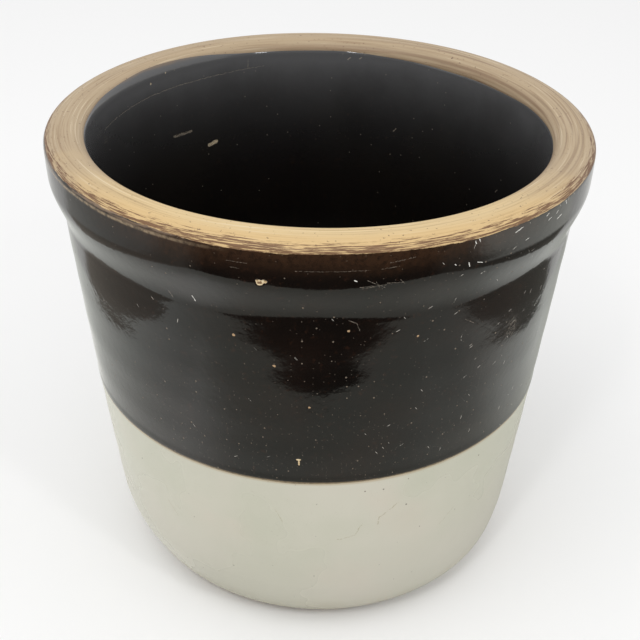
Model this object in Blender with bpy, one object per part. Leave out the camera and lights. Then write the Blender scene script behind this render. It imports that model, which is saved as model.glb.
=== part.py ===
"""Open stoneware fermenting crock: a fired clay pot and the three glaze coats fused to it.

Metres, +Z up. The origin is the centre of the circle the foot stands on.
Every sub-part is a turned profile, a list of (radius, height) points swept round +Z.
"""

import math

import bmesh
import bpy
from mathutils import Vector

# Overall size
HEIGHT = 0.2385
RIM_RADIUS = 0.131
SEGMENTS = 64

# Rim: a flat top with a rounded lip inside and a longer shoulder outside
THROAT_RADIUS = 0.1110
LIP_ROUND = 0.0078
BARE_LIP_TURN = math.radians(-76)
SHOULDER_WIDTH = 0.0084
SHOULDER_DROP = 0.0046
BARE_SHOULDER_TURN = math.radians(66)

# Collar below the rim, and the hollow curve that runs from it into the wall
COLLAR_RADIUS = 0.1307
COLLAR_DEPTH = 0.0165
WALL_TOP_RADIUS = 0.1246
WALL_TOP_DEPTH = 0.0397

# Outer wall, its slight belly, and the level where dark glaze meets pale glaze
WALL_FOOT_RADIUS = 0.1085
WALL_FOOT_DEPTH = 0.2053
WALL_BELLY = 0.0005
SEAM_DEPTH = 0.1308

# Heel curve, foot ring and the shallow hollow under the base
HEEL_KNEE = Vector((0.1030, 0.0037))
FOOT_RADIUS = 0.0852
HEEL_BARE_FROM = 0.8
FOOT_RING_INNER = 0.0737
BASE_HOLLOW = 0.0015
BASE_HOLLOW_RADIUS = 0.0712

# Inside: the wall, the curve into the floor, and the floor
INNER_FOOT_RADIUS = 0.0988
INNER_FOOT_DEPTH = 0.1944
FLOOR_DEPTH = 0.2272
FLOOR_KNEE_RADIUS = 0.0970
FLOOR_RADIUS = 0.0737

# Glaze coats
GLAZE = 0.0008
GAP = 0.0003

CLAY_COLOUR = (0.56, 0.42, 0.24, 1.0)
DARK_COLOUR = (0.022, 0.012, 0.010, 1.0)
PALE_COLOUR = (0.58, 0.56, 0.45, 1.0)


def at(radius, depth):
    """Profile point at a radius and a depth below the rim's top."""
    return Vector((radius, HEIGHT - depth))


def line(start, end, steps):
    """Points along a straight run, both ends included."""
    return [start.lerp(end, i / steps) for i in range(steps + 1)]


def curve(start, knee, end, steps, first=0.0, last=1.0):
    """Points along the part from first to last of a quadratic curve."""
    points = []
    for i in range(steps + 1):
        t = first + (last - first) * i / steps
        points.append(start.lerp(knee, t).lerp(knee.lerp(end, t), t))
    return points


def quarter(centre, width, drop, first, last, steps):
    """Points round an ellipse, with angles measured from its top outwards."""
    points = []
    for i in range(steps + 1):
        turn = first + (last - first) * i / steps
        points.append(centre + Vector((width * math.sin(turn), drop * math.cos(turn))))
    return points


def joined(*runs):
    """One polyline from several that meet end to end."""
    points = list(runs[0])
    for run in runs[1:]:
        points += run[1:]
    return points


def sunk(points, distance):
    """The polyline moved sideways into the clay, which lies on its right as it is walked."""
    moved = []
    for i, point in enumerate(points):
        ahead = points[min(i + 1, len(points) - 1)]
        behind = points[max(i - 1, 0)]
        along = (ahead - behind).normalized()
        moved.append(point + Vector((along.y, -along.x)) * distance)
    return moved


def trimmed(points, start, end):
    """The polyline with a length taken off its first and its last segment."""
    first = points[0] + (points[1] - points[0]).normalized() * start
    last = points[-1] + (points[-2] - points[-1]).normalized() * end
    return [first] + points[1:-1] + [last]


def shoulder(first, last, steps):
    """The rim's outer shoulder between two turns, from the flat top outwards."""
    centre = at(RIM_RADIUS - SHOULDER_WIDTH, SHOULDER_DROP)
    return quarter(centre, SHOULDER_WIDTH, SHOULDER_DROP, first, last, steps)


def lip(first, last, steps):
    """The rim's inner lip between two turns, from the throat up to the flat top."""
    centre = at(THROAT_RADIUS + LIP_ROUND, LIP_ROUND)
    return quarter(centre, LIP_ROUND, LIP_ROUND, first, last, steps)


def bare_rim():
    """Unglazed rim: over the lip, across the flat top and down the shoulder."""
    flat = [at(THROAT_RADIUS + LIP_ROUND, 0), at(RIM_RADIUS - SHOULDER_WIDTH, 0)]
    return joined(lip(BARE_LIP_TURN, 0, 5), flat, shoulder(0, BARE_SHOULDER_TURN, 4))


def wall_radius(depth):
    """Radius of the outer wall at a depth below the rim's top."""
    along = (depth - WALL_TOP_DEPTH) / (WALL_FOOT_DEPTH - WALL_TOP_DEPTH)
    straight = WALL_TOP_RADIUS + (WALL_FOOT_RADIUS - WALL_TOP_RADIUS) * along
    return straight + WALL_BELLY * math.sin(math.pi * along)


def wall(first, last, steps):
    """Points down the outer wall between two depths."""
    depths = [first + (last - first) * i / steps for i in range(steps + 1)]
    return [at(wall_radius(depth), depth) for depth in depths]


def under_collar(steps):
    """The collar's lower edge easing into the wall."""
    points = []
    for i in range(steps + 1):
        along = i / steps
        ease = along * along * (3 - 2 * along)
        radius = COLLAR_RADIUS + (WALL_TOP_RADIUS - COLLAR_RADIUS) * ease
        points.append(at(radius, COLLAR_DEPTH + (WALL_TOP_DEPTH - COLLAR_DEPTH) * along))
    return points


def upper_outside():
    """Face of the dark outer coat, from the bare rim down to the seam."""
    lower_shoulder = shoulder(BARE_SHOULDER_TURN, math.pi / 2, 2)
    collar = line(at(RIM_RADIUS, SHOULDER_DROP), at(COLLAR_RADIUS, COLLAR_DEPTH), 1)
    return joined(lower_shoulder, collar, under_collar(6), wall(WALL_TOP_DEPTH, SEAM_DEPTH, 4))


def heel(first, last, steps):
    """Part of the curve that turns the wall under to the foot."""
    wall_foot = at(WALL_FOOT_RADIUS, WALL_FOOT_DEPTH)
    return curve(wall_foot, HEEL_KNEE, Vector((FOOT_RADIUS, 0)), steps, first, last)


def lower_outside():
    """Face of the pale outer coat, from the seam round the heel to the bare foot."""
    return joined(wall(SEAM_DEPTH, WALL_FOOT_DEPTH, 4), heel(0, HEEL_BARE_FROM, 5))


def foot():
    """Unglazed foot: the last of the heel, the ring it stands on and the hollow inside it."""
    ring = [Vector((FOOT_RADIUS, 0)), Vector((FOOT_RING_INNER, 0))]
    hollow = [ring[-1], Vector((BASE_HOLLOW_RADIUS, BASE_HOLLOW)), Vector((0, BASE_HOLLOW))]
    return joined(heel(HEEL_BARE_FROM, 1, 2), ring, hollow)


def inside():
    """Face of the dark lining, from the centre of the floor up and round into the lip."""
    floor = [at(0, FLOOR_DEPTH), at(FLOOR_RADIUS, FLOOR_DEPTH)]
    wall_foot = at(INNER_FOOT_RADIUS, INNER_FOOT_DEPTH)
    bend = curve(floor[-1], at(FLOOR_KNEE_RADIUS, FLOOR_DEPTH), wall_foot, 6)
    rise = line(wall_foot, at(THROAT_RADIUS, LIP_ROUND), 5)
    return joined(floor, bend, rise, lip(-math.pi / 2, BARE_LIP_TURN, 2))


def clay_profile():
    """Outline of the clay pot, walked up the inside, over the rim and down the outside."""
    lining_bed = sunk(inside(), GLAZE + GAP)
    outer_bed = sunk(joined(upper_outside(), lower_outside()), GLAZE + GAP)
    return lining_bed + bare_rim() + outer_bed + foot()


def coat_profile(face, start, end):
    """Outline of a coat under a face, with a length kept clear at each end of it."""
    kept = trimmed(face, start, end)
    return kept + sunk(kept, GLAZE)[::-1]


def material(name, colour, roughness):
    """Plain surface of one colour."""
    surface = bpy.data.materials.new(name)
    surface.use_nodes = True
    shader = surface.node_tree.nodes["Principled BSDF"]
    shader.inputs["Base Color"].default_value = colour
    shader.inputs["Roughness"].default_value = roughness
    shader.inputs["Metallic"].default_value = 0.0
    return surface


def turned(name, profile, surface, closed):
    """Object whose mesh is the profile swept once round +Z."""
    shape = bmesh.new()
    verts = [shape.verts.new((point.x, 0, point.y)) for point in profile]
    ends = zip(verts, verts[1:] + verts[:1]) if closed else zip(verts, verts[1:])
    for pair in ends:
        shape.edges.new(pair)
    mesh = bpy.data.meshes.new(name)
    shape.to_mesh(mesh)
    shape.free()
    mesh.materials.append(surface)
    piece = bpy.data.objects.new(name, mesh)
    bpy.context.scene.collection.objects.link(piece)
    sweep = piece.modifiers.new("turn", "SCREW")
    sweep.axis = "Z"
    sweep.angle = 2 * math.pi
    sweep.steps = SEGMENTS
    sweep.render_steps = SEGMENTS
    sweep.use_smooth_shade = True
    sweep.use_merge_vertices = True
    sweep.merge_threshold = 0.00001
    return piece


def clear_scene():
    """Leave an empty scene."""
    for item in list(bpy.data.objects):
        bpy.data.objects.remove(item)


def build():
    """Make the clay pot and its three coats."""
    clear_scene()
    clay = material("bare_stoneware", CLAY_COLOUR, 0.7)
    dark = material("dark_glaze", DARK_COLOUR, 0.12)
    pale = material("pale_glaze", PALE_COLOUR, 0.3)
    turned("stoneware_body", clay_profile(), clay, closed=False)
    turned("inner_glaze", coat_profile(inside(), 0, GAP), dark, closed=False)
    turned("upper_glaze", coat_profile(upper_outside(), GAP, GAP / 2), dark, closed=True)
    turned("lower_glaze", coat_profile(lower_outside(), GAP / 2, GAP), pale, closed=True)


build()
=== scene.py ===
"""Looks of the stoneware crock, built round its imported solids.

Metres, +Z up, in the solids' own frame. Angles round the crock are azimuths in degrees:
0 faces the camera, 90 is to its right and 180 is the far side. Depths are measured down from
the top of the rim.
"""

import math

import bpy
import numpy as np
from mathutils import Matrix, Vector, noise


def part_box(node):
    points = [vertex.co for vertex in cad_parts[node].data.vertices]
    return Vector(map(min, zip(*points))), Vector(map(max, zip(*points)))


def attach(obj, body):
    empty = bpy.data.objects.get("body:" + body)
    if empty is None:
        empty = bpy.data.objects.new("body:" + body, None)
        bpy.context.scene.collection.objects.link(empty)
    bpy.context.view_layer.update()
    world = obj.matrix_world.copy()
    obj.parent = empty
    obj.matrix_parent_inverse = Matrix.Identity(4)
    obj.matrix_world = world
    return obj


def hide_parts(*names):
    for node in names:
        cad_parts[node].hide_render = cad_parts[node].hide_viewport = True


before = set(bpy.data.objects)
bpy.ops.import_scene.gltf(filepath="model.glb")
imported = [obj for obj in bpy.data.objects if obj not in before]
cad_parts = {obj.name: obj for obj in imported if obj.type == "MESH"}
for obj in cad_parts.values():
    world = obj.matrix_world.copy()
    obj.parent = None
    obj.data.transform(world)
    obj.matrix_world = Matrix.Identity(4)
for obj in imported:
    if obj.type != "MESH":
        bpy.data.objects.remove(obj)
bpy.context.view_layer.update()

DARK_LOW, DARK_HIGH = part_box("upper_glaze")
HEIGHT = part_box("stoneware_body")[1].z
RIM_RADIUS = DARK_HIGH.x

# Turned outline, the same as the solids'
THROAT_RADIUS = 0.1110
LIP_ROUND = 0.0078
SHOULDER_WIDTH = 0.0084
SHOULDER_DROP = 0.0046
COLLAR_RADIUS = 0.1307
COLLAR_DEPTH = 0.0165
WALL_TOP_RADIUS = 0.1246
WALL_TOP_DEPTH = 0.0397
WALL_FOOT_RADIUS = 0.1085
WALL_FOOT_DEPTH = 0.2053
WALL_BELLY = 0.0005
SEAM_DEPTH = HEIGHT - DARK_LOW.z
HEEL_KNEE = (0.1030, 0.0037)
FOOT_RADIUS = 0.0852
FOOT_RING_INNER = 0.0737
BASE_HOLLOW = 0.0015
BASE_HOLLOW_RADIUS = 0.0712
INNER_FOOT_RADIUS = 0.0988
INNER_FOOT_DEPTH = 0.1944
FLOOR_DEPTH = 0.2272
FLOOR_KNEE_RADIUS = 0.0970
FLOOR_RADIUS = 0.0737

# Coats of glaze on the clay
BED = 0.0006          # how far the clay lies below a coat's face
COAT = 0.0005         # thickness of the lining
HIDDEN_SIDE = 0.0007  # how far an outer coat's hidden side lies below its face
BEAD = 0.0002         # how far the dark coat's lower edge stands proud of the pale coat
BEAD_LENGTH = 0.005
EDGE_ROUND = 0.0006   # how far that edge is rounded over
OVERLAP = 0.003       # how far the pale coat runs up behind the dark one
MM = 0.001
GIRTH = 0.125         # radius at which marks round the crock are measured out

# Meshes and their bake layer
MERIDIAN_STEP = 0.9375   # degrees
COVERED_SHARE = 0.05     # room for a row of clay under a coat, against a bare one
HIDDEN_SHARE = 0.00002   # room for a row of a coat's hidden side
STRIP_SIDE = 0.006       # margins of a strip
STRIP_END = 0.012
CLOSING_SHARE = 0.01     # room for the row that closes a coat

# Knocks in the dark coat: azimuth, then in mm the depth below the rim, how deep the knock is, and
# its lobes as (across, down, half width, half height)
CHIPS = (
    (-9.7, 18.4, 0.75, ((-0.8, 0.2, 1.35, 1.35), (0.9, -0.5, 1.3, 0.85), (-1.5, -0.5, 0.8, 0.7))),
    (-3.4, 118.0, 0.45, ((0.0, -1.5, 1.25, 0.5), (0.2, 0.3, 0.42, 1.9))),
)


# ---- outline

def straight(start, end, step=0.00025):
    """Points from start to end."""
    count = max(2, round(math.dist(start, end) / step))
    return np.linspace(start, end, count + 1)


def bend(start, knee, end, steps=120):
    """Quadratic curve between two points."""
    t = np.linspace(0, 1, steps + 1)[:, None]
    start, knee, end = map(np.array, (start, knee, end))
    return start * (1 - t) ** 2 + 2 * knee * t * (1 - t) + end * t * t


def quarter(centre, width, drop, first, last, steps=60):
    """Part of an ellipse, with turns in degrees measured from its top outwards."""
    turn = np.radians(np.linspace(first, last, steps + 1))
    return np.stack([centre[0] + width * np.sin(turn), centre[1] + drop * np.cos(turn)], 1)


def at(radius, depth):
    """Outline point at a depth below the rim's top."""
    return radius, HEIGHT - depth


def under_collar():
    """The collar's lower edge easing into the wall."""
    t = np.linspace(0, 1, 100)
    ease = t * t * (3 - 2 * t)
    radius = COLLAR_RADIUS + (WALL_TOP_RADIUS - COLLAR_RADIUS) * ease
    return np.stack(at(radius, COLLAR_DEPTH + (WALL_TOP_DEPTH - COLLAR_DEPTH) * t), 1)


def outer_wall():
    """The wall from the collar to the heel, with its slight belly."""
    t = np.linspace(0, 1, 600)
    radius = WALL_TOP_RADIUS + (WALL_FOOT_RADIUS - WALL_TOP_RADIUS) * t
    depth = WALL_TOP_DEPTH + (WALL_FOOT_DEPTH - WALL_TOP_DEPTH) * t
    return np.stack(at(radius + WALL_BELLY * np.sin(math.pi * t), depth), 1)


class Outline:
    """A run of points with its length, looked up by distance along it."""

    def __init__(self, side, *runs):
        points = np.concatenate([runs[0]] + [r[1:] for r in runs[1:]])
        self.points = points
        self.length = np.concatenate([[0], np.cumsum(np.linalg.norm(np.diff(points, axis=0), axis=1))])
        along = np.gradient(points, axis=0)
        along /= np.linalg.norm(along, axis=1)[:, None]
        kernel = np.hanning(13) / np.hanning(13).sum()
        normal = side * np.stack([-along[:, 1], along[:, 0]], 1)
        padded = np.pad(normal, ((6, 6), (0, 0)), mode="edge")
        normal = np.stack([np.convolve(padded[:, i], kernel, "valid") for i in range(2)], 1)
        self.normal = normal / np.linalg.norm(normal, axis=1)[:, None]

    def find(self, distance, offset):
        """Radius and height at distances along, moved out by an offset."""
        where = [np.interp(distance, self.length, self.points[:, i]) for i in range(2)]
        out = [np.interp(distance, self.length, self.normal[:, i]) for i in range(2)]
        return where[0] + out[0] * offset, where[1] + out[1] * offset

    def distance(self, depth):
        """Distance along at a depth below the rim's top."""
        return float(np.interp(depth, HEIGHT - self.points[:, 1], self.length))


FLAT_MIDDLE = (THROAT_RADIUS + LIP_ROUND + RIM_RADIUS - SHOULDER_WIDTH) / 2
OUTER = Outline(
    1,
    straight(at(FLAT_MIDDLE, 0), at(RIM_RADIUS - SHOULDER_WIDTH, 0)),
    quarter(at(RIM_RADIUS - SHOULDER_WIDTH, SHOULDER_DROP), SHOULDER_WIDTH, SHOULDER_DROP, 0, 90),
    straight(at(RIM_RADIUS, SHOULDER_DROP), at(COLLAR_RADIUS, COLLAR_DEPTH)),
    under_collar(),
    outer_wall(),
    bend(at(WALL_FOOT_RADIUS, WALL_FOOT_DEPTH), HEEL_KNEE, (FOOT_RADIUS, 0)),
)
INNER = Outline(
    -1,
    straight(at(FLAT_MIDDLE, 0), at(THROAT_RADIUS + LIP_ROUND, 0)),
    quarter(at(THROAT_RADIUS + LIP_ROUND, LIP_ROUND), LIP_ROUND, LIP_ROUND, 0, -90),
    straight(at(THROAT_RADIUS, LIP_ROUND), at(INNER_FOOT_RADIUS, INNER_FOOT_DEPTH)),
    bend(at(INNER_FOOT_RADIUS, INNER_FOOT_DEPTH), at(FLOOR_KNEE_RADIUS, FLOOR_DEPTH),
         at(FLOOR_RADIUS, FLOOR_DEPTH)),
    straight(at(FLOOR_RADIUS, FLOOR_DEPTH), at(0, FLOOR_DEPTH)),
)
UPPER_EDGE = OUTER.distance(0.0012)
SEAM = OUTER.distance(SEAM_DEPTH)
FOOT_EDGE = OUTER.distance(HEIGHT - 0.0024)
OUTER_END = OUTER.length[-1]
LIP_EDGE = INNER.distance(0.0036)
INNER_END = INNER.length[-1]


# ---- hand-made unevenness

SEAM_ONCE, SEAM_TWICE = -0.6, 1.6   # mm of drift that come once and twice round
SEAM_TURN = 0.05
BULGE = 1.9 * MM                    # how far the heel stands out at the right and in at the left
HEEL_RISE = 5.0 * MM                # how far the low wall and heel lie lower at the right


def wave(angles, *terms):
    """Sum of ripples round the crock, each as (how many, how high, turned by)."""
    return sum(high * np.cos(many * angles + turned) for many, high, turned in terms)


def seam_drift(angles):
    """How far below its level the glaze line runs."""
    slow = wave(angles, (1, SEAM_ONCE * MM, 0), (2, SEAM_TWICE * MM, SEAM_TURN), (5, 0.12 * MM, 1.0))
    return slow + wave(angles, (11, 0.10 * MM, 0.4), (23, 0.06 * MM, 2.0), (41, 0.04 * MM, 4.0))


def uneven(radius, height, angles, outside):
    """The turned shape with its hand-made unevenness."""
    high = height / HEIGHT
    round_off = wave(angles, (2, 0.25 * MM, 0.7), (3, 0.15 * MM, 2.0)) * high
    radius = radius + round_off * np.minimum(1, radius / 0.05)
    rim = np.clip((high - 0.8) / 0.2, 0, 1)
    height = height + rim * wave(angles, (2, 0.15 * MM, 1.0), (5, 0.08 * MM, 0.3))
    if outside:
        ripple = np.sin(height * 310 + wave(angles, (1, 0.9, 0), (3, 0.5, 1)))
        ripple = ripple + 0.7 * np.sin(height * 173 + wave(angles, (2, 1.1, 2)))
        radius = radius + 0.045 * MM * ripple * np.clip(height / 0.02, 0, 1)
        lean = np.sin(angles)
        rise = np.clip(height / 0.030, 0, 1) * np.clip((0.4 * HEIGHT - height) / (0.3 * HEIGHT), 0, 1)
        bulge = np.exp(-((height - 0.012) / 0.010) ** 2) * np.clip(height / 0.004, 0, 1)
        radius = radius + lean * bulge * BULGE
        height = height - lean * rise * (1 - 0.6 * np.clip(lean, 0, 1)) * HEEL_RISE
    return radius, height


# ---- meshes

def skin(name, rows, angles, strips, closed):
    """Mesh of rows swept round +Z. A row is (radius, height, share of the bake above it).

    The bake layer lays the skin out in strips of equal angle, one above another.
    """
    count = len(angles)
    around = np.concatenate([angles, [2 * math.pi]])
    verts, index = [], []
    for radius, height, _ in rows:
        if np.max(radius) < 1e-6:
            index.append(np.full(count, len(verts)))
            verts.append((0.0, 0.0, float(np.mean(height))))
            continue
        index.append(len(verts) + np.arange(count))
        ring = np.stack([radius * np.sin(angles), -radius * np.cos(angles), height + 0 * angles], 1)
        verts.extend(ring.tolist())
    level = np.cumsum([row[2] for row in rows])
    level = level / level[-1]
    if closed:
        level = level * (1 - CLOSING_SHARE)
    faces, layout = [], []
    span = 2 * math.pi / strips
    pairs = [(i, i + 1, level[i], level[i + 1]) for i in range(len(rows) - 1)]
    if closed:
        pairs.append((len(rows) - 1, 0, level[-1], 1.0))
    strip = np.minimum(((around[:-1] + around[1:]) / 2 / span).astype(int), strips - 1)
    left = STRIP_SIDE + (1 - 2 * STRIP_SIDE) * (around[:-1] - strip * span) / span
    right = STRIP_SIDE + (1 - 2 * STRIP_SIDE) * (around[1:] - strip * span) / span
    for i, j, low, high in pairs:
        for k in range(count):
            n = (k + 1) % count
            base = strip[k] + STRIP_END
            low_v = (base + (1 - 2 * STRIP_END) * low) / strips
            high_v = (base + (1 - 2 * STRIP_END) * high) / strips
            corners = ((index[i][k], left[k], low_v), (index[j][k], left[k], high_v),
                       (index[j][n], right[k], high_v), (index[i][n], right[k], low_v))
            used, face = set(), []
            for corner in corners:
                if corner[0] in used:
                    continue
                used.add(corner[0])
                face.append(int(corner[0]))
                layout.append((corner[1], corner[2]))
            faces.append(face)
    mesh = bpy.data.meshes.new(name)
    mesh.from_pydata(verts, [], faces)
    layer = mesh.uv_layers.new(name="OFBake")
    layer.data.foreach_set("uv", np.array(layout, np.float32).ravel())
    mesh.shade_smooth()
    piece = bpy.data.objects.new(name, mesh)
    bpy.context.scene.collection.objects.link(piece)
    return piece


def finish(piece, material, slot, *nodes):
    """Give a piece its material and its place in the frame."""
    piece.data.materials.append(material)
    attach(piece, "root")
    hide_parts(*nodes)


def spaced(*parts):
    """Distances from (start, end, step) parts that meet."""
    out = [parts[0][0]]
    for start, end, step in parts:
        count = max(1, round(abs(end - start) / step))
        out.extend(np.linspace(start, end, count + 1)[1:])
    return np.array(out)


def turns(step, *fine):
    """Azimuths in radians, with (from, to, step) stretches in degrees laid more closely."""
    values = set(np.round(np.arange(0, 360, step), 4).tolist())
    for start, end, close in fine:
        values |= set(np.round(np.arange(start, end, close) % 360, 4).tolist())
    ordered = sorted(values)
    kept = [ordered[0]]
    for value in ordered[1:]:
        if value - kept[-1] > 0.04:
            kept.append(value)
    return np.radians(np.array(kept))


def eased(value, low, high):
    """0 below low, 1 above high, smooth between."""
    t = np.clip((value - low) / (high - low), 0, 1)
    return t * t * (3 - 2 * t)


def crock_clay(material):
    """The clay pot: bare at the rim and the foot, sunk under its coats elsewhere."""
    angles = turns(MERIDIAN_STEP)
    drift = lip_drift(angles)
    rows = []
    inner = spaced((INNER_END, LIP_EDGE + 0.02, 0.004), (LIP_EDGE + 0.02, 0, 0.0006))
    for distance, gap in zip(inner, np.abs(np.diff(inner, prepend=inner[0]))):
        sink = -BED * eased(distance - drift, LIP_EDGE - 0.0005, LIP_EDGE + 0.003)
        radius, height = INNER.find(distance + 0 * angles, sink)
        bare = distance < LIP_EDGE + 0.004
        rows.append((*uneven(radius, height, angles, False), gap * (1 if bare else COVERED_SHARE)))
    outer = spaced((0, UPPER_EDGE + 0.006, 0.0008), (UPPER_EDGE + 0.006, FOOT_EDGE - 0.012, 0.003),
                   (FOOT_EDGE - 0.012, OUTER_END, 0.0009))
    for distance, gap in zip(outer[1:], np.diff(outer)):
        sink = -BED * eased(distance, UPPER_EDGE, UPPER_EDGE + 0.0035)
        sink = sink * (1 - eased(distance, FOOT_EDGE - 0.0035, FOOT_EDGE))
        radius, height = OUTER.find(distance + 0 * angles, sink)
        bare = distance < UPPER_EDGE + 0.003 or distance > FOOT_EDGE - 0.004
        rows.append((*uneven(radius, height, angles, True), gap * (1 if bare else COVERED_SHARE)))
    under = np.concatenate([straight((FOOT_RADIUS, 0), (FOOT_RING_INNER, 0), 0.002),
                            straight((FOOT_RING_INNER, 0), (BASE_HOLLOW_RADIUS, BASE_HOLLOW), 0.001)[1:],
                            straight((BASE_HOLLOW_RADIUS, BASE_HOLLOW), (0, BASE_HOLLOW), 0.006)[1:]])
    for radius, height in under[1:]:
        rows.append((radius + 0 * angles, height + 0 * angles, 0.0012))
    piece = skin("crock_clay", rows, angles, 4, False)
    finish(piece, material, "bare_stoneware", "stoneware_body")


def knocks(angles, depth):
    """How far each point of a row lies inside a chip, and how deep the chip is there."""
    inside, dent = np.zeros(len(angles)), np.zeros(len(angles))
    turned = (np.degrees(angles) + 180) % 360 - 180
    for azimuth, down, deep, lobes in CHIPS:
        across = np.radians(turned - azimuth) * GIRTH / MM
        below = depth / MM - down
        near = np.abs(across) < 8
        if not near.any() or abs(below[near]).min() > 8:
            continue
        for k in np.nonzero(near)[0]:
            ragged = 0.22 * noise.noise(Vector((across[k] * 1.3, below[k] * 1.3, azimuth)))
            reach = max(1 - math.hypot((across[k] - lobe[0]) / lobe[2], (below[k] - lobe[1]) / lobe[3])
                        for lobe in lobes) + ragged
            value = min(1.0, max(0.0, 0.5 + reach * 1.4))
            if value > inside[k]:
                inside[k] = value
                rough = noise.noise(Vector((across[k] * 0.9, below[k] * 0.9, 7.0)))
                dent[k] = deep * MM * max(0.0, min(1.0, (value - 0.4) * 3)) * (0.85 + 0.35 * rough)
    return inside, dent


def mark(piece, knocked):
    """Keep how far inside a knock each point lies. The rows of the hidden side come last, with none."""
    values = np.zeros(len(piece.data.vertices), np.float32)
    seen = np.concatenate(knocked)
    values[:len(seen)] = seen
    layer = piece.data.attributes.new("chip", "FLOAT", "POINT")
    layer.data.foreach_set("value", values)


def coat_rows(outline, distances, offsets, shifts, angles, knocked=None):
    """Rows along an outline, moved out by their offsets and along by their shifts, knocked where asked."""
    rows = []
    for distance, offset, shift in zip(distances, offsets, shifts):
        radius, height = outline.find(distance + shift, offset)
        if knocked is not None:
            inside, dent = knocks(angles, HEIGHT - height)
            radius = radius - dent
            knocked.append(inside)
        rows.append(uneven(radius, height, angles, outline is OUTER))
    return rows


def shared(rows, shares):
    """Rows with the share of the bake layer that each takes."""
    return [(radius, height, float(share)) for (radius, height), share in zip(rows, shares)]


def outer_coat(name, angles, down, face, follow, knocked=None):
    """An outer coat: down its face, following the glaze line's drift, and back up its hidden side."""
    drift = seam_drift(angles)
    back = down[::-1][2:-1:3]
    rows = coat_rows(OUTER, down, face, np.outer(follow, drift), angles, knocked)
    behind = np.outer(np.interp(back, down, follow), drift)
    rows += coat_rows(OUTER, back, np.full(len(back), -HIDDEN_SIDE), behind, angles)
    shares = np.concatenate([[0], np.diff(down), np.full(len(back), HIDDEN_SHARE)])
    return skin(name, shared(rows, shares), angles, 3, True)


def dark_coat(material):
    """The dark outer coat, from the wiped edge on the shoulder to its beaded edge at the glaze line."""
    angles = turns(MERIDIAN_STEP, (-13, -6.8, 0.15), (-5.5, -1.5, 0.15))
    top, low = OUTER.distance(0.0155), OUTER.distance(0.0222)
    chip_top, chip_low = OUTER.distance(0.1145), OUTER.distance(0.1205)
    down = spaced((UPPER_EDGE, UPPER_EDGE + 0.004, 0.0005), (UPPER_EDGE + 0.004, top, 0.001),
                  (top, low, 0.00028), (low, OUTER.distance(0.045), 0.0010),
                  (OUTER.distance(0.045), chip_top, 0.0022), (chip_top, chip_low, 0.00028),
                  (chip_low, SEAM - 0.0015, 0.0009), (SEAM - 0.0015, SEAM, 0.00015))
    follow = eased(down, OUTER.distance(0.06), SEAM - 0.002)
    bead = BEAD * eased(down, SEAM - BEAD_LENGTH, SEAM - 0.0018)
    top_edge = -0.00035 * (1 - eased(down, UPPER_EDGE, UPPER_EDGE + 0.0012))
    lower_edge = 1 - np.sqrt(np.clip(1 - ((down - SEAM + EDGE_ROUND) / EDGE_ROUND) ** 2, 0, 1))
    lower_edge = np.where(down > SEAM - EDGE_ROUND, lower_edge, 0) * (BEAD + 0.0003)
    knocked = []
    piece = outer_coat("dark_coat", angles, down, bead + top_edge - lower_edge, follow, knocked)
    mark(piece, knocked)
    finish(piece, material, "dark_outer_glaze", "upper_glaze")


def pale_coat(material):
    """The pale outer coat, from behind the dark coat's edge round the heel to the bare foot."""
    angles = turns(MERIDIAN_STEP)
    heel = OUTER.distance(0.200)
    down = spaced((SEAM - OVERLAP, SEAM, 0.0006), (SEAM, SEAM + 0.006, 0.0008), (SEAM + 0.006, heel, 0.0026),
                  (heel, FOOT_EDGE - 0.002, 0.0014), (FOOT_EDGE - 0.002, FOOT_EDGE, 0.0003))
    follow = 1 - eased(down, SEAM + 0.004, SEAM + 0.05)
    face = -0.0004 * (1 - eased(down, SEAM - OVERLAP, SEAM - 0.0012))
    edge = np.clip((down - FOOT_EDGE + 0.0016) / 0.0016, 0, 1)
    face = face + 0.0002 * eased(down, FOOT_EDGE - 0.006, FOOT_EDGE - 0.002) - 0.0006 * edge ** 3
    piece = outer_coat("pale_coat", angles, down, face, follow)
    finish(piece, material, "pale_outer_glaze", "lower_glaze")


def lip_drift(angles):
    """How far down the lip the lining's edge lies, uneven as it was wiped."""
    climb = 2.7 * MM * np.exp(-((angles - 4.02) / 0.36) ** 2)
    fall = 2.4 * MM * np.exp(-((angles - 2.18) / 0.55) ** 2)
    back = 2.6 * MM * np.exp(-((angles - 2.98) / 0.85) ** 4)
    ripples = wave(angles, (1, -1.3 * MM, 2.36), (3, 0.35 * MM, 1.0), (9, 0.16 * MM, 0.5),
                   (17, 0.1 * MM, 2.2))
    return ripples - climb + fall + back


def lining(material):
    """The dark lining, from the centre of the floor up to its wiped edge on the lip, and back behind it."""
    angles = turns(MERIDIAN_STEP)
    bend_end = INNER.distance(0.215)
    up = spaced((INNER_END, bend_end, 0.004), (bend_end, 0.03, 0.0028), (0.03, LIP_EDGE, 0.0007))
    down = up[::-1][2::3]
    if down[-1] != INNER_END:
        down = np.append(down, INNER_END)
    edge = -0.0004 * (1 - eased(up, LIP_EDGE, LIP_EDGE + 0.0016))
    distances = np.concatenate([up, down])
    offsets = np.concatenate([edge, np.full(len(down), -COAT)])
    follow = 1 - eased(distances, LIP_EDGE + 0.002, LIP_EDGE + 0.02)
    rows = coat_rows(INNER, distances, offsets, np.outer(follow, lip_drift(angles)), angles)
    shares = np.concatenate([[0], -np.diff(up), np.full(len(down), 0.00003)])
    piece = skin("lining", shared(rows, shares), angles, 2, False)
    finish(piece, material, "dark_lining_glaze", "inner_glaze")


# ---- materials

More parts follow.
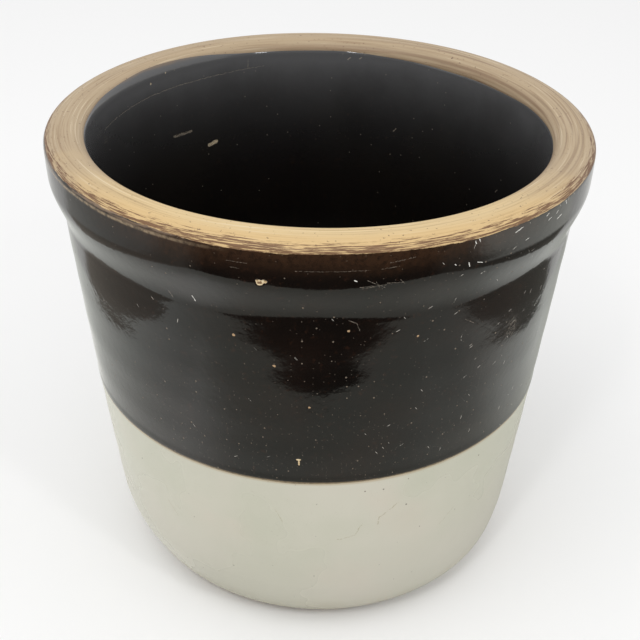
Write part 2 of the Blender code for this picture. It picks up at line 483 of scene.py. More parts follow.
class Look:
    """A material and short names for the nodes it is made of."""

    def __init__(self, name):
        self.material = bpy.data.materials.new(name)
        self.material.use_nodes = True
        self.tree = self.material.node_tree
        self.shader = self.tree.nodes["Principled BSDF"]
        self.place = self.node("ShaderNodeTexCoord").outputs["Object"]
        split = self.node("ShaderNodeSeparateXYZ")
        self.link(self.place, split.inputs[0])
        self.x, self.y, self.z = split.outputs
        self.radius = self.maths("SQRT", self.plus(self.times(self.x, self.x), self.times(self.y, self.y)))
        self.azimuth = self.maths("ARCTAN2", self.x, self.times(self.y, -1))
        self.depth = self.times(self.less(HEIGHT, self.z), 1 / MM)
        self.across = self.times(self.azimuth, GIRTH / MM)
        self.unrolled = self.vector(self.across, self.depth, 0)

    def node(self, kind, **settings):
        """New node with its settings."""
        item = self.tree.nodes.new(kind)
        for key, value in settings.items():
            setattr(item, key, value)
        return item

    def link(self, source, socket):
        """Feed a socket from another, or from a plain value."""
        if isinstance(source, bpy.types.NodeSocket):
            self.tree.links.new(source, socket)
        elif isinstance(source, tuple) and len(source) == 3 and socket.type == "RGBA":
            socket.default_value = (*source, 1)
        else:
            socket.default_value = source

    def maths(self, operation, *values, clamp=False):
        """Result of a sum on plain numbers."""
        item = self.node("ShaderNodeMath", operation=operation, use_clamp=clamp)
        for value, socket in zip(values, item.inputs):
            self.link(value, socket)
        return item.outputs[0]

    def times(self, a, b):
        return self.maths("MULTIPLY", a, b)

    def plus(self, a, b):
        return self.maths("ADD", a, b)

    def less(self, a, b):
        return self.maths("SUBTRACT", a, b)

    def cosine(self, a):
        return self.maths("COSINE", a)

    def wobble(self, noise_value, amount):
        """A noise as a swing to both sides of nothing."""
        return self.times(self.less(noise_value, 0.5), amount)

    def gathered(self, masks):
        """The largest of several masks, each made only when its turn comes."""
        out = next(masks)
        for one in masks:
            out = self.maths("MAXIMUM", out, one)
        return out

    def most(self, *values):
        return self.gathered(iter(values))

    def vector(self, x, y, z):
        item = self.node("ShaderNodeCombineXYZ")
        for value, socket in zip((x, y, z), item.inputs):
            self.link(value, socket)
        return item.outputs[0]

    def vectors(self, operation, *values, out=0):
        """Result of a sum on vectors."""
        item = self.node("ShaderNodeVectorMath", operation=operation)
        vector_sockets = [s for s in item.inputs if s.type == "VECTOR"]
        for value, socket in zip(values, vector_sockets):
            self.link(value, socket)
        return item.outputs[out]

    def scaled(self, vector, factor):
        item = self.node("ShaderNodeVectorMath", operation="SCALE")
        self.link(vector, item.inputs[0])
        self.link(factor, item.inputs["Scale"])
        return item.outputs[0]

    def stretched(self, vector, x, y):
        return self.vectors("MULTIPLY", vector, (x, y, 1))

    def turned(self, vector, angle):
        """The vector turned about +Z."""
        item = self.node("ShaderNodeVectorRotate", rotation_type="Z_AXIS")
        self.link(vector, item.inputs["Vector"])
        item.inputs["Angle"].default_value = angle
        return item.outputs[0]

    def smooth(self, value, low, high, start=0.0, end=1.0):
        """Ease from start to end as value goes from low to high."""
        item = self.node("ShaderNodeMapRange", interpolation_type="SMOOTHSTEP")
        for number, key in zip((value, low, high, start, end),
                               ("Value", "From Min", "From Max", "To Min", "To Max")):
            self.link(number, item.inputs[key])
        return item.outputs[0]

    def noise(self, vector, scale, detail=3.0, roughness=0.55):
        item = self.node("ShaderNodeTexNoise")
        self.link(vector, item.inputs["Vector"])
        for key, number in (("Scale", scale), ("Detail", detail), ("Roughness", roughness)):
            item.inputs[key].default_value = number
        return item.outputs["Fac"]

    def cells(self, vector, scale):
        """Distance to the nearest scattered point, and two random numbers of that point."""
        item = self.node("ShaderNodeTexVoronoi", voronoi_dimensions="2D")
        self.link(vector, item.inputs["Vector"])
        item.inputs["Scale"].default_value = scale
        split = self.node("ShaderNodeSeparateColor")
        self.link(item.outputs["Color"], split.inputs[0])
        return item.outputs["Distance"], split.outputs[0], split.outputs[1]

    def mix(self, share, first, second):
        item = self.node("ShaderNodeMix", data_type="RGBA")
        self.link(share, item.inputs[0])
        self.link(first, item.inputs[6])
        self.link(second, item.inputs[7])
        return item.outputs[2]

    def layered(self, colour, *layers):
        """The colour under layers of (mask, how much, tint)."""
        for mask, much, tint in layers:
            colour = self.mix(self.times(mask, much), colour, tint)
        return colour

    def scatter(self, vector, scale, low, high, share):
        """Mask of small round marks at a share of scattered points."""
        gap, pick, _ = self.cells(vector, scale)
        return self.times(self.smooth(gap, low, high, 1, 0), self.maths("LESS_THAN", pick, share))

    def grains(self, vector, scale, spread, share):
        """Mask of round marks of uneven size at a share of scattered points."""
        gap, pick, size = self.cells(vector, scale)
        low = self.times(size, spread[0])
        return self.times(self.smooth(gap, low, self.plus(low, spread[1]), 1, 0),
                          self.maths("LESS_THAN", pick, share))

    def stroke(self, place, start, end, width):
        """Mask of a line between two places given as azimuth and depth, its width in mm."""
        a = Vector((math.radians(start[0]) * GIRTH / MM, start[1], 0))
        b = Vector((math.radians(end[0]) * GIRTH / MM, end[1], 0))
        run = b - a
        away = self.vectors("SUBTRACT", place, tuple(a))
        share = self.vectors("DOT_PRODUCT", away, tuple(run / run.length_squared), out="Value")
        share = self.maths("ADD", share, 0, clamp=True)
        beside = self.vectors("SUBTRACT", away, self.scaled(tuple(run), share))
        gap = self.vectors("LENGTH", beside, out="Value")
        return self.smooth(gap, width * 0.5, width, 1, 0)

    def strokes(self, place, lines):
        """Mask of several lines."""
        return self.gathered(self.stroke(place, *line) for line in lines)

    def spots(self, place, marks):
        """Mask of several round spots."""
        return self.gathered(self.spot(place, *mark) for mark in marks)

    def spot(self, place, azimuth, depth, size):
        """Mask of a round spot, its size in mm."""
        centre = (math.radians(azimuth) * GIRTH / MM, depth, 0)
        gap = self.vectors("LENGTH", self.vectors("SUBTRACT", place, centre), out="Value")
        return self.smooth(gap, size * 0.35, size * 0.6, 1, 0)

    def rings(self, fine, along):
        """Noise drawn out into lines round the crock."""
        around = self.vector(*(self.maths("DIVIDE", side, self.radius) for side in (self.x, self.y)), 0)
        beside = self.less(self.radius, FLAT_MIDDLE)
        below = self.times(self.less(HEIGHT, self.z), 0.7)
        across = self.plus(beside, self.times(below, self.maths("SIGN", beside)))
        return self.vectors("ADD", self.scaled(around, along), self.vector(0, 0, self.times(across, fine)))

    def seam_drift(self):
        """The glaze line's slow drift in mm, the same as the meshes'."""
        twice = self.cosine(self.plus(self.times(self.azimuth, 2), SEAM_TURN))
        once = self.cosine(self.azimuth)
        return self.plus(self.times(twice, SEAM_TWICE), self.times(once, SEAM_ONCE))

    def bump(self, height, distance, strength=1.0):
        """Let a height roughen the surface's slope."""
        item = self.node("ShaderNodeBump")
        item.inputs["Distance"].default_value = distance
        item.inputs["Strength"].default_value = strength
        self.link(height, item.inputs["Height"])
        self.link(item.outputs[0], self.shader.inputs["Normal"])

    def finish(self, colour, roughness):
        """Give the surface its colour and roughness."""
        self.link(colour, self.shader.inputs["Base Color"])
        self.link(roughness, self.shader.inputs["Roughness"])
        return self.material


# Bare rim colour on the side towards the camera and on the far side: the difference between them is painted
# light
CLAY_FRONT_LIT = (0.640, 0.478, 0.250)
CLAY_BACK = (0.425, 0.322, 0.205)
CLAY_BROWN = (0.17, 0.085, 0.035)
EDGE_BROWN = (0.13, 0.055, 0.022)
CLAY_PALE = (0.72, 0.61, 0.42)
GROOVE_BROWN = (0.24, 0.16, 0.095)
CLAY_GOLD = (0.58, 0.375, 0.155)
SPECK_BROWN = (0.10, 0.05, 0.03)
LIP_BROWN = (0.27, 0.17, 0.10)
FOOT_PALE = (0.50, 0.40, 0.28)
FOOT_BROWN = (0.33, 0.25, 0.17)
GROOVED_AZIMUTH = 112   # where the rim's turned grooves are deepest


def clay_colour(look):
    """Colour of the bare rim, painted brighter and warmer towards the camera as painted light, with lines
    turned into it.
    """
    fine = look.noise(look.rings(900, 2.2), 1.0, 4, 0.6)
    broad = look.noise(look.rings(260, 1.3), 1.0, 3, 0.55)
    patch = look.noise(look.place, 22, 3, 0.5)
    # painted light: the rim is painted brighter and warmer on its side towards the camera, where it catches
    # the light
    lit_front = look.smooth(look.plus(look.cosine(look.azimuth), look.wobble(patch, 0.7)), 0.35, 0.95)
    colour = look.mix(lit_front, CLAY_BACK, CLAY_FRONT_LIT)
    colour = look.mix(look.smooth(fine, 0.51, 0.70, 0, 0.40), colour, CLAY_BROWN)
    towards = look.cosine(look.less(look.azimuth, math.radians(GROOVED_AZIMUTH)))
    grooved = look.smooth(towards, 0.3, 0.95, 0.12, 0.75)
    grooved = look.times(grooved, look.smooth(look.radius, 0.1285, 0.1245, 0.25, 1))
    grooves = look.noise(look.rings(640, 0.9), 1.0, 3, 0.5)
    colour = look.mix(look.times(look.smooth(grooves, 0.50, 0.62), grooved), colour, GROOVE_BROWN)
    colour = look.mix(look.smooth(fine, 0.30, 0.42, 0.5, 0), colour, CLAY_PALE)
    # the golden tint of the rim's outer part is laid only on the lit side, as part of that painted light
    gold = look.times(look.smooth(look.radius, 0.1205, 0.1275, 0, 0.5), lit_front)
    colour = look.mix(gold, colour, CLAY_GOLD)
    return colour, fine, broad


def edge_stain(look):
    """Mask of the brown streaks that crowd towards the bare rim's outer edge."""
    outward = look.smooth(look.radius, 0.1245, 0.1306)
    streaks = look.noise(look.rings(1500, 10), 1.0, 4, 0.7)
    crowded = look.plus(look.times(outward, 0.24), look.less(streaks, 0.5))
    return look.smooth(crowded, 0.16, 0.25, 0, 0.9)


def clay_look():
    """Bare clay: the rim, with painted light that makes it warmer where it faces the camera, and the dusty
    foot.
    """
    look = Look("bare_stoneware")
    colour, fine, broad = clay_colour(look)
    specks = look.noise(look.place, 620, 2, 0.6)
    colour = look.mix(edge_stain(look), colour, EDGE_BROWN)
    colour = look.mix(look.smooth(specks, 0.66, 0.72, 0, 0.75), colour, SPECK_BROWN)
    inward = look.smooth(look.radius, 0.1140, 0.1115)
    colour = look.mix(look.times(inward, look.smooth(broad, 0.35, 0.6, 0.1, 0.6)), colour, LIP_BROWN)
    foot = look.smooth(look.z, 0.03, 0.02)
    dust = look.noise(look.place, 60, 4, 0.6)
    foot_colour = look.mix(look.smooth(dust, 0.35, 0.7), FOOT_PALE, FOOT_BROWN)
    colour = look.mix(foot, colour, foot_colour)
    height = look.plus(look.times(fine, 0.6), look.plus(look.times(broad, 0.8), look.times(specks, 0.3)))
    look.bump(height, 0.00045, 0.6)
    return look.finish(colour, look.smooth(fine, 0.3, 0.7, 0.5, 0.72))


SMEARED_AZIMUTH = -58   # middle of the stretch where the wiped edge is smeared
GLAZE_BLACK = (0.0036, 0.0027, 0.0022)
GLAZE_BROWN = (0.0075, 0.0040, 0.0027)
GLAZE_RED = (0.026, 0.011, 0.006)


def wiped(look, ragged_mm):
    """Mask of the bare clay above a ragged edge, which lies higher on the left, and that side's mask."""
    left = look.smooth(look.cosine(look.less(look.azimuth, math.radians(SMEARED_AZIMUTH))), 0.72, 0.92)
    edge = look.smooth(left, 0, 1, 4.2, 2.6)
    ragged = look.noise(look.rings(500, 26), 1.0, 4, 0.7)
    slow = look.noise(look.rings(60, 3.2), 1.0, 2, 0.5)
    drift = look.plus(look.wobble(ragged, ragged_mm * 2), look.wobble(slow, ragged_mm * 3))
    return look.smooth(look.plus(look.depth, drift), edge, look.plus(edge, 0.35), 1, 0), left


def dark_glaze(look, warm=1.0):
    """Colour of the dark glaze with its reddish-brown mottling, and the two noises behind it."""
    broad = look.noise(look.place, 26, 3, 0.55)
    fine = look.noise(look.place, 420, 3, 0.6)
    brown, red = ((tint[0] * warm, *tint[1:]) for tint in (GLAZE_BROWN, GLAZE_RED))
    colour = look.mix(look.smooth(broad, 0.35, 0.7), GLAZE_BLACK, brown)
    return look.mix(look.smooth(fine, 0.58, 0.74, 0, 0.6), colour, red), broad, fine


BREAKING_BROWN = (0.034, 0.0165, 0.0085)
PINHOLE = (0.26, 0.20, 0.14)
DUST = (0.16, 0.13, 0.10)
TICK_GREY = (0.55, 0.52, 0.46)
SCRATCH_BUFF = (0.38, 0.32, 0.25)
SPOT_BROWN = (0.42, 0.27, 0.14)
NICK_WHITE = (0.80, 0.78, 0.72)
CHIP_PALE = (0.82, 0.70, 0.46)
CHIP_BROWN = (0.54, 0.38, 0.20)
AMBER = (0.25, 0.19, 0.115)
SMEAR_BROWN = (0.25, 0.17, 0.11)
LINE_BROWN = (0.30, 0.22, 0.135)
FLECK_PINK = (0.46, 0.38, 0.33)
SCUFF_AZIMUTH, SCUFF_DEPTH = 45.6, 64.5

# Lines are (azimuth, depth) to (azimuth, depth) and a width, and spots are azimuth, depth and size
DARK_SCRATCHES = (
    ((7.6, 40.2), (8.3, 44.0), 0.20), ((6.0, 38.2), (7.6, 39.9), 0.22), ((8.6, 16.2), (11.8, 20.2), 0.18),
    ((7.4, 19.4), (13.0, 18.9), 0.17), ((10.2, 17.0), (10.9, 20.0), 0.14),
    ((12.2, 18.2), (15.2, 18.6), 0.17), ((7.6, 20.3), (10.0, 19.6), 0.16),
    ((14.6, 17.2), (15.4, 19.2), 0.14), ((-3.8, 11.8), (9.0, 11.6), 0.10),
    ((12.5, 9.0), (17.0, 7.6), 0.15), ((11.0, 11.5), (14.2, 10.9), 0.15),
    ((-16.0, 9.9), (-12.2, 10.1), 0.12), ((-15.5, 12.6), (-13.6, 12.8), 0.12),
    ((-29.4, 34.0), (-28.6, 37.2), 0.25), ((30.6, 47.5), (33.0, 51.0), 0.2),
)
DARK_NICKS = (
    ((27.7, 15.0), (28.0, 16.9), 0.28), ((29.6, 15.8), (30.7, 16.6), 0.20),
    ((28.7, 5.6), (28.9, 6.9), 0.25), ((29.5, 5.2), (29.7, 6.4), 0.22), ((38.0, 7.6), (39.8, 6.4), 0.30),
    ((41.2, 13.6), (42.0, 13.1), 0.2), ((51.0, 11.4), (52.4, 10.5), 0.30),
    ((46.8, 6.6), (47.5, 5.9), 0.22), ((53.6, 5.0), (54.0, 6.8), 0.24), ((6.4, 16.0), (6.8, 16.4), 0.3),
    ((50.2, 8.2), (50.9, 7.4), 0.2), ((47.6, 9.2), (48.6, 8.6), 0.2), ((24.8, 14.2), (25.1, 14.8), 0.22),
    ((-24.0, 33.0), (-23.5, 35.6), 0.24),
)
DARK_SPOTS = (
    (-16.1, 49.3, 1.3), (-8.2, 63.0, 1.2), (-1.2, 85.0, 1.1), (6.1, 43.6, 1.2), (20.1, 50.2, 1.1),
)


def dark_look():
    """The dark glossy outer coat with its knocks, scratches, pinholes and thin edges."""
    look = Look("dark_outer_glaze")
    colour, broad, fine = dark_glaze(look)
    warp = look.noise(look.unrolled, 0.9, 2, 0.5)
    place = look.vectors("ADD", look.unrolled, look.scaled((0.8, 0.6, 0.0), look.less(warp, 0.5)))
    # the glaze breaks to brown on the collar's upper edge
    breaking = look.times(look.smooth(look.plus(look.depth, look.times(broad, 8)), 21, 8),
                          look.smooth(fine, 0.25, 0.6, 0.4, 1))
    breaking = look.times(breaking, look.smooth(look.cosine(look.azimuth), 0.62, 0.97, 0.12, 1.0))
    colour = look.mix(breaking, colour, BREAKING_BROWN)
    # pinholes and specks of dust fired into the glaze, more of them low down and to the right
    dense = look.smooth(look.depth, 25, 120, 0.10, 0.36)
    dense = look.plus(dense, look.smooth(look.across, -60, 130, 0, 0.10))
    holes = look.grains(look.unrolled, 0.16, (0.05, 0.035), dense)
    moved = look.vectors("ADD", look.unrolled, (37.0, 11.0, 0.0))
    dust = look.scatter(moved, 0.42, 0.05, 0.12, look.times(dense, 0.7))
    # short scratches, most of them to the right
    crowd = look.smooth(look.plus(look.across, look.wobble(broad, 160)), 20, 110)
    ticks = 0.0
    for angle, scale in ((0.5, 0.22), (-0.9, 0.27), (1.3, 0.2)):
        drawn = look.stretched(look.turned(look.unrolled, angle), 0.55, 4.5)
        some = look.plus(0.002, look.times(crowd, 0.020))
        ticks = look.most(ticks, look.scatter(drawn, scale, 0.09, 0.17, some))
    ticks = look.times(ticks, look.smooth(fine, 0.42, 0.52))
    strokes = look.strokes(place, DARK_SCRATCHES)
    strokes = look.times(strokes, look.smooth(look.noise(look.unrolled, 1.3, 3, 0.7), 0.42, 0.56))
    nicks = look.strokes(place, DARK_NICKS)
    nicks = look.times(nicks, look.smooth(look.noise(look.unrolled, 1.7, 3, 0.7), 0.36, 0.50, 0.25, 1))
    scuffs = look.noise(look.stretched(look.turned(look.unrolled, 0.85), 0.35, 2.2), 1.0, 3, 0.65)
    scuffed = (math.radians(SCUFF_AZIMUTH) * GIRTH / MM, SCUFF_DEPTH, 0)
    off_centre = look.vectors("SUBTRACT", look.unrolled, scuffed)
    off_centre = look.vectors("LENGTH", look.stretched(off_centre, 1.25, 0.8), out="Value")
    scuffs = look.times(look.smooth(scuffs, 0.52, 0.60), look.smooth(off_centre, 6.8, 2.5))
    strokes = look.most(strokes, look.times(scuffs, 0.9))
    spots = look.spots(place, DARK_SPOTS)
    attribute = look.node("ShaderNodeAttribute", attribute_name="chip")
    chip = look.smooth(look.plus(attribute.outputs["Fac"], look.wobble(fine, 0.25)), 0.46, 0.54)
    shade = look.noise(look.place, 700, 3, 0.6)
    chip_colour = look.mix(look.smooth(shade, 0.3, 0.7), CHIP_PALE, CHIP_BROWN)
    colour = look.layered(
        colour, (holes, 0.6, PINHOLE), (dust, 0.4, DUST), (ticks, 0.75, TICK_GREY),
        (strokes, 0.42, SCRATCH_BUFF), (spots, 1, SPOT_BROWN), (nicks, 0.85, NICK_WHITE))
    # glaze thins to amber at its lower edge, and is wiped away to clay at its upper one
    thin = look.smooth(look.less(look.depth, look.seam_drift()), SEAM_DEPTH / MM - 1.6, SEAM_DEPTH / MM - 0.5)
    colour = look.mix(look.times(thin, look.smooth(fine, 0.3, 0.6, 0.6, 1)), colour, AMBER)
    bare, left = wiped(look, 0.8)
    wavering = look.plus(look.depth, look.wobble(look.noise(look.rings(90, 3.5), 1.0, 3, 0.6), 2.0))
    line = look.smooth(look.maths("ABSOLUTE", look.less(wavering, 5.3)), 0.15, 1.1, 1, 0)
    line = look.times(look.times(line, left), look.smooth(fine, 0.3, 0.6, 0.2, 0.8))
    smear = look.times(look.smooth(look.depth, 5.6, 3.0),
                       look.smooth(look.noise(look.rings(420, 6), 1.0, 4, 0.65), 0.46, 0.62))
    colour = look.mix(look.times(look.times(smear, left), 0.75), colour, SMEAR_BROWN)
    colour = look.mix(line, colour, LINE_BROWN)
    flecks = look.noise(look.stretched(look.unrolled, 1.2, 3.0), 1.0, 3, 0.7)
    zone = look.smooth(look.maths("ABSOLUTE", look.less(look.across, -46)), 20, 8)
    zone = look.times(zone, look.smooth(look.depth, 4.6, 3.2))
    colour = look.mix(look.times(look.smooth(flecks, 0.54, 0.62), look.times(zone, 0.7)), colour, FLECK_PINK)
    # bare clay above the wiped edge takes the rim's colour, with its painted light towards the camera
    clay, _, _ = clay_colour(look)
    colour = look.mix(bare, colour, look.mix(edge_stain(look), clay, EDGE_BROWN))
    colour = look.mix(chip, colour, chip_colour)
    faint = ((nicks, 0.8), (line, 0.5), (ticks, 0.6), (strokes, 0.6), (spots, 0.8), (holes, 0.7))
    worn = look.most(bare, chip, *(look.times(mask, much) for mask, much in faint))
    skin_noise = look.noise(look.place, 280, 2, 0.5)
    peel = look.noise(look.place, 1100, 2, 0.5)
    height = look.plus(skin_noise, look.times(peel, 0.14))
    height = look.less(height, look.times(look.most(holes, spots), 1.2))
    height = look.less(height, look.times(dust, 0.12))
    look.bump(height, 0.00006, 1.0)
    return look.finish(colour, look.plus(look.smooth(broad, 0.3, 0.7, 0.07, 0.13), look.times(worn, 0.5)))


PALE_GREEN = (0.493, 0.490, 0.394)
PALE_CREAM = (0.548, 0.526, 0.440)
PALE_PINK = (0.57, 0.50, 0.42)
PIT_BROWN = (0.30, 0.26, 0.18)
DOT_BLACK = (0.09, 0.07, 0.05)
HAIR_BROWN = (0.28, 0.23, 0.11)
HEEL_GREY = (0.465, 0.440, 0.380)
GRIME = (0.40, 0.35, 0.25)
EDGE_AMBER = (0.40, 0.31, 0.18)
PALE_HAIRS = (
    ((6.1, 169.6), (10.2, 167.6), 0.32), ((10.2, 167.6), (12.0, 159.8), 0.28),
    ((15.8, 161.8), (16.2, 157.0), 0.36), ((16.2, 157.0), (20.4, 149.8), 0.32),
    ((-40.0, 168.0), (-37.0, 176.0), 0.25), ((-9.0, 150.0), (-7.2, 158.0), 0.2),
    ((34.0, 176.0), (38.0, 168.0), 0.22),
)


def pale_look():
    """The pale satin outer coat with its hairlines and pits, greyer towards the bottom, with grime low on the
    heel.
    """
    look = Look("pale_outer_glaze")
    broad = look.noise(look.place, 14, 3, 0.55)
    other = look.noise(look.vectors("ADD", look.place, (3.0, 1.0, 2.0)), 18, 3, 0.5)
    colour = look.mix(look.smooth(broad, 0.35, 0.7), PALE_GREEN, PALE_CREAM)
    colour = look.mix(look.smooth(other, 0.5, 0.75, 0, 0.5), colour, PALE_PINK)
    warp = look.noise(look.unrolled, 0.25, 3, 0.6)
    place = look.vectors("ADD", look.unrolled, look.scaled((2.4, 1.6, 0.0), look.less(warp, 0.5)))
    hairs = look.strokes(place, PALE_HAIRS)
    hairs = look.times(hairs, look.smooth(look.noise(look.unrolled, 0.9, 3, 0.6), 0.38, 0.56))
    dots = look.grains(look.unrolled, 0.085, (0.03, 0.022), 0.24)
    moved = look.vectors("ADD", look.unrolled, (19.0, 7.0, 0.0))
    pits = look.scatter(moved, 0.33, 0.03, 0.08, 0.2)
    colour = look.layered(colour, (pits, 0.35, PIT_BROWN), (dots, 0.85, DOT_BLACK), (hairs, 0.6, HAIR_BROWN))
    # greyer and darker towards the bottom
    colour = look.mix(look.smooth(look.z, 0.085, 0.02, 0, 0.45), colour, HEEL_GREY)
    grime = look.noise(look.place, 45, 4, 0.65)
    low = look.smooth(look.z, 0.028, 0.004)
    colour = look.mix(look.times(low, look.smooth(grime, 0.35, 0.7, 0.1, 0.6)), colour, GRIME)
    level = look.less(look.depth, look.seam_drift())
    under_edge = look.smooth(level, SEAM_DEPTH / MM + 1.6, SEAM_DEPTH / MM - 0.1)
    colour = look.mix(look.times(under_edge, 0.7), colour, EDGE_AMBER)
    skin_noise = look.noise(look.place, 100, 1, 0.5)
    height = look.less(skin_noise, look.times(look.most(dots, pits), 0.4))
    look.bump(height, 0.00016, 0.8)
    return look.finish(colour, look.smooth(broad, 0.3, 0.7, 0.22, 0.34))


PAINTED_LIGHT_GREY = (0.098, 0.098, 0.100)
SHOWN_BROWN = (0.17, 0.12, 0.08)
SPECK_BUFF = (0.25, 0.22, 0.18)
LINING_SCRATCH = (0.40, 0.33, 0.24)
LINING_CHIP = (0.52, 0.42, 0.28)
PAINTED_LIGHT_FADE = 19   # mm of depth over which the painted reflection by the lip fades
LINING_SCRATCHES = (
    ((-100.0, 17.6), (-122.0, 16.2), 0.15), ((-122.0, 16.2), (-147.0, 15.2), 0.17),
    ((-131.8, 43.2), (-138.3, 43.4), 0.8), ((-158.3, 8.6), (-158.1, 13.4), 0.22),
    ((-147.0, 15.2), (-163.0, 13.4), 0.11), ((171.4, 8.9), (172.2, 10.2), 0.4),
    ((168.1, 8.3), (168.8, 9.3), 0.4), ((156.2, 47.2), (157.0, 49.0), 0.35),
    ((115.6, 59.8), (116.4, 61.8), 0.35),
)
LINING_SPOTS = (
    (-125.0, 9.6, 1.3), (-131.0, 6.6, 0.9),
)
LINING_CHIPS = (
    ((-144.2, 54.3), (-145.4, 53.8), 1.3), ((-145.6, 53.5), (-146.7, 53.2), 1.4),
)


def lining_look():
    """The dark glossy lining, painted lighter grey near the lip as painted reflection and on the floor as
    painted light.
    """
    look = Look("dark_lining_glaze")
    colour, broad, _ = dark_glaze(look, 0.7)
    # the lip's thin glaze lets the clay show through
    thin = look.noise(look.rings(300, 5), 1.0, 3, 0.6)
    left = look.smooth(look.cosine(look.less(look.azimuth, math.radians(-150))), -0.2, 0.9)
    reach = look.plus(3.4, look.times(left, 0.6))
    shown = look.smooth(look.plus(look.depth, look.wobble(thin, 4)), look.less(reach, 2.5), reach, 1, 0)
    # painted reflection and light: a grey veil over the lining, strongest by the lip and fading with depth,
    # and again on the floor
    painted_light = look.times(look.maths("EXPONENT", look.times(look.depth, -1 / PAINTED_LIGHT_FADE)), 2.0)
    painted_light = look.plus(painted_light, look.smooth(look.depth, 100, 180, 0, 0.45))
    cloud = look.noise(look.place, 30, 4, 0.6)
    colour = look.mix(look.times(painted_light, look.smooth(cloud, 0.25, 0.75, 0.75, 1.0)), colour, PAINTED_LIGHT_GREY)
    colour = look.mix(look.times(shown, 0.8), colour, SHOWN_BROWN)
    specks = look.scatter(look.unrolled, 0.14, 0.02, 0.06, 0.10)
    specks = look.times(specks, look.smooth(look.depth, 214, 206))
    floor_specks = look.scatter(look.place, 130, 0.03, 0.07, 0.12)
    specks = look.most(specks, look.times(floor_specks, look.smooth(look.depth, 214, 220)))
    colour = look.mix(look.times(specks, 0.6), colour, SPECK_BUFF)
    warp = look.noise(look.unrolled, 0.35, 3, 0.6)
    place = look.vectors("ADD", look.unrolled, look.scaled((0.4, 1.8, 0.0), look.less(warp, 0.5)))
    strokes = look.strokes(place, LINING_SCRATCHES)
    strokes = look.times(strokes, look.smooth(look.noise(look.unrolled, 1.2, 3, 0.6), 0.38, 0.52))
    spots = look.spots(place, LINING_SPOTS)
    spots = look.most(spots, look.strokes(place, LINING_CHIPS))
    spots = look.times(spots, look.smooth(look.noise(look.unrolled, 1.4, 2, 0.6), 0.35, 0.5))
    colour = look.mix(look.times(strokes, 0.45), colour, LINING_SCRATCH)
    colour = look.mix(spots, colour, LINING_CHIP)
    worn = look.most(strokes, spots, look.times(shown, 0.15))
    skin_noise = look.noise(look.place, 300, 2, 0.5)
    look.bump(look.less(skin_noise, look.most(strokes, spots)), 0.00009, 1.0)
    return look.finish(colour, look.plus(look.smooth(broad, 0.3, 0.7, 0.08, 0.16), look.times(worn, 0.5)))


# ---- stage

CAMERA_BACK = 0.50077
CAMERA_UP = 0.2014
CAMERA_PITCH = 32.165
CAMERA_YAW = 0.203
CAMERA_ROLL = 1.14
CAMERA_LENS = 63.56
FITTED_RIM = 0.128     # rim radius that the camera's distances above were fitted to
SQUARE_HALF = 0.30     # half the side of the pale square under the crock
SHEET_ROUGHNESS = 0.9


def camera():
    """Camera at the photograph's viewing angle, turned a little about its own axis."""
    unit = RIM_RADIUS / FITTED_RIM
    eye = Vector((0, -CAMERA_BACK * unit, HEIGHT + CAMERA_UP * unit))
    pitch, yaw, roll = map(math.radians, (CAMERA_PITCH, CAMERA_YAW, CAMERA_ROLL))
    ahead = Vector((math.sin(yaw) * math.cos(pitch), math.cos(yaw) * math.cos(pitch), -math.sin(pitch)))
    right = Vector((math.cos(yaw), -math.sin(yaw), 0))
    up = right.cross(ahead)
    rolled_right = right * math.cos(roll) + up * math.sin(roll)
    rolled_up = up * math.cos(roll) - right * math.sin(roll)
    data = bpy.data.cameras.new("camera")
    data.lens = CAMERA_LENS
    lens = bpy.data.objects.new("camera", data)
    bpy.context.scene.collection.objects.link(lens)
    basis = Matrix((rolled_right, rolled_up, -ahead)).transposed()
    lens.matrix_world = Matrix.Translation(eye) @ basis.to_4x4()
    bpy.context.scene.camera = lens


def dull(name):
    """A look without any gloss."""
    look = Look(name)
    look.shader.inputs["Specular IOR Level"].default_value = 0.0
    return look


def sheet(name, corners, paint):
    """Flat staged sheet."""
    mesh = bpy.data.meshes.new(name)
    mesh.from_pydata(corners, [], [(0, 1, 2, 3)])
    mesh.materials.append(paint)
    item = bpy.data.objects.new(name, mesh)
    bpy.context.scene.collection.objects.link(item)
    return item


def level_square(half, height):
    """Corners of a level square about the turning axis."""
    return [(-half, -half, height), (half, -half, height), (half, half, height), (-half, half, height)]


def floor():
    """Pale floor, and two sheets that only the glaze mirrors."""
    sheet("floor", level_square(6.0, -0.0002), dull("floor_paint").finish((0.9, 0.9, 0.9), SHEET_ROUGHNESS))
    card = sheet("mirrored_ground", level_square(2.2, 0.001), ground_look())
    back, wide, tall = -1.15, 1.5, 1.7
    corners = [(-wide, back, 0), (wide, back, 0), (wide, back, tall), (-wide, back, tall)]
    paint = dull("mirrored_backdrop_paint").finish((0.05, 0.045, 0.04), SHEET_ROUGHNESS)
    panel = sheet("mirrored_backdrop", corners, paint)
    for item in (card, panel):
        item.visible_camera = False
        item.visible_diffuse = False
        item.visible_shadow = False
        item.visible_transmission = False
        item.visible_volume_scatter = False


GROUND_LEFT = (0.82, 0.83, 0.79)
GROUND_RIGHT = (0.52, 0.53, 0.49)
GROUND_FRONT_SHADOWED = (0.47, 0.48, 0.43)
GROUND_BESIDE = (0.92, 0.94, 0.89)
NEAR_LEFT = (1.0, 1.0, 0.96)
NEAR_RIGHT = (0.60, 0.61, 0.56)
BEYOND_LEFT = (0.34, 0.31, 0.27)
BEYOND_RIGHT = (0.17, 0.165, 0.145)
BEYOND_FRONT = (0.03, 0.027, 0.024)
FAR_LEFT = (0.55, 0.55, 0.52)
FAR_RIGHT = (0.97, 0.98, 0.91)
BEHIND = (0.80, 0.80, 0.78)


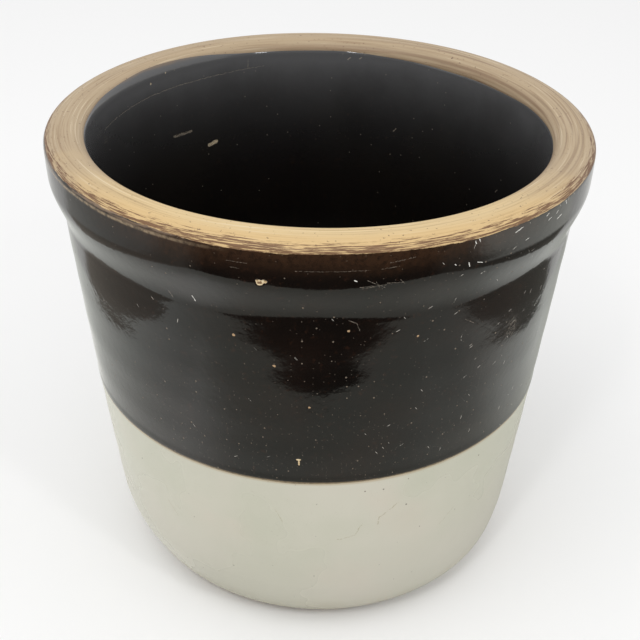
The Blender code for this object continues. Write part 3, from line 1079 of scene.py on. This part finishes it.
def ground_look():
    """What the glaze mirrors: a pale square with a painted shadow that dulls it towards the camera and
    reaches in at its near edge, and the ground beyond it.
    """
    look = dull("mirrored_ground_paint")
    reach = look.most(look.maths("ABSOLUTE", look.x), look.maths("ABSOLUTE", look.y))
    ragged = look.wobble(look.noise(look.place, 30, 3, 0.6), 0.012)
    # painted shadow: the dark ground beyond reaches in to a point at the middle of the square's near edge
    point = look.smooth(look.maths("ABSOLUTE", look.less(look.x, 0.010)), 0.16, 0.0, 0, 0.030)
    point = look.times(point, look.smooth(look.y, -0.15, -0.2))
    beyond = look.smooth(look.plus(look.plus(reach, point), ragged), SQUARE_HALF - 0.004, SQUARE_HALF + 0.004)
    facing = look.cosine(look.azimuth)
    to_right = look.smooth(look.x, -0.12, 0.16)
    pale = look.mix(to_right, GROUND_LEFT, GROUND_RIGHT)
    # painted shadow dulls the pale square towards the camera
    pale = look.mix(look.smooth(facing, 0.45, 0.95), pale, GROUND_FRONT_SHADOWED)
    beside = look.times(look.smooth(facing, 0.6, 0.0), look.smooth(facing, -0.75, -0.4))
    pale = look.mix(beside, pale, GROUND_BESIDE)
    near = look.times(look.smooth(reach, 0.25, 0.17), look.smooth(facing, 0.9, 0.6, 0.3, 1.0))
    pale = look.mix(near, pale, look.mix(to_right, NEAR_LEFT, NEAR_RIGHT))
    side = look.mix(to_right, BEYOND_LEFT, BEYOND_RIGHT)
    dark = look.mix(look.smooth(facing, 0.64, 0.78), side, BEYOND_FRONT)
    far = look.times(look.smooth(reach, 0.38, 0.47), look.smooth(facing, 0.60, 0.42))
    dark = look.mix(far, dark, look.mix(to_right, FAR_LEFT, FAR_RIGHT))
    dark = look.mix(look.smooth(facing, -0.36, -0.46), dark, BEHIND)
    return look.finish(look.mix(beyond, pale, dark), SHEET_ROUGHNESS)


def area_light(name, shape, size, power, place, aim):
    """Soft light of a shape and size, pointed at a height on the turning axis."""
    lamp = bpy.data.lights.new(name, "AREA")
    lamp.shape = shape
    lamp.size, lamp.size_y = size
    lamp.energy = power
    light = bpy.data.objects.new(name, lamp)
    bpy.context.scene.collection.objects.link(light)
    light.location = place
    light.rotation_euler = (Vector((0, 0, aim)) - light.location).to_track_quat("-Z", "Y").to_euler()


def lights():
    """Soft daylight from all round, a broad light overhead and two narrow ones that make glints."""
    world = bpy.data.worlds.new("studio")
    bpy.context.scene.world = world
    world.use_nodes = True
    sky = world.node_tree.nodes["Background"]
    sky.inputs["Color"].default_value = (1, 1, 1, 1)
    sky.inputs["Strength"].default_value = 0.9
    area_light("overhead", "DISK", (1.6, 1.6), 9, (-0.5, -0.7, 2.2), 0.1)
    for side in (-0.27, 0.60):
        area_light("glint", "RECTANGLE", (0.10, 0.28), 1.6, (side, -0.80, 1.0), HEIGHT)
    bpy.context.scene.view_settings.view_transform = "Standard"


def main():
    """Stage the crock and make its four pieces."""
    camera()
    floor()
    lights()
    crock_clay(clay_look())
    dark_coat(dark_look())
    pale_coat(pale_look())
    lining(lining_look())


main()
